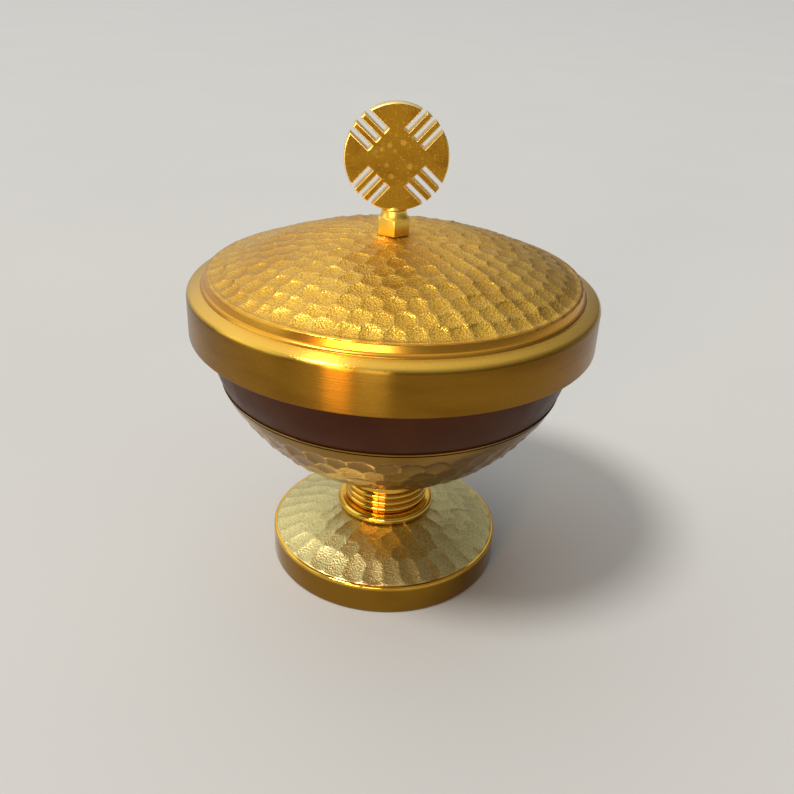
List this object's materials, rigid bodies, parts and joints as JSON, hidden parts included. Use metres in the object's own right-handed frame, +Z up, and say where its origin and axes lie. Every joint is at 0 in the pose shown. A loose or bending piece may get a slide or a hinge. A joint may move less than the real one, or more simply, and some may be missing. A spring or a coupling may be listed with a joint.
{
  "type": "footed pyx",
  "caption": "Lidded gilt cup on a turned stem and round foot, with hammered bowl and lid, a dark enamelled band and a slotted disc finial; the lid lifts off.",
  "frame": {"origin": "centre of the foot's underside, on the surface that the object stands on", "axes": "+Z up along the axis of the turned pieces; -Y towards the viewer, with the finial's disc facing it"},
  "size_m": [0.108, 0.108, 0.1296],
  "materials": {
    "polished_gilt": "polished gilding",
    "hammered_gilt": "hammered, satin gilding with a fine grain",
    "bowl_gilt": "polished gilding, hammered below the lip",
    "brushed_gilt": "gilding brushed round the rim",
    "finial_gilt": "polished gilding with fine scratches",
    "brown_enamel": "dark brown enamel, low gloss",
    "plain_brass": "turned brass, unplated"
  },
  "bodies": {
    "base": {"foot_ring": "polished_gilt", "foot_dome": "hammered_gilt", "foot_washer": "plain_brass", "foot_nut": "plain_brass", "tie_stud": "plain_brass", "stem_knop": "polished_gilt", "bowl_boss": "polished_gilt", "bowl_shell": "bowl_gilt", "bowl_band": "brown_enamel", "bowl_rim": "polished_gilt"},
    "lid": {"lid_rim": "brushed_gilt", "lid_flange": "polished_gilt", "lid_dome": "hammered_gilt", "finial_collar": "polished_gilt", "finial_disc": "finial_gilt", "finial_stud": "plain_brass", "finial_washer": "plain_brass", "finial_nut": "plain_brass"}
  },
  "joints": [
    {"name": "lid_lift", "type": "slide", "parent": "base", "child": "lid", "axis": [0, 0, 1], "range_m": [0, 0.06]}
  ]
}
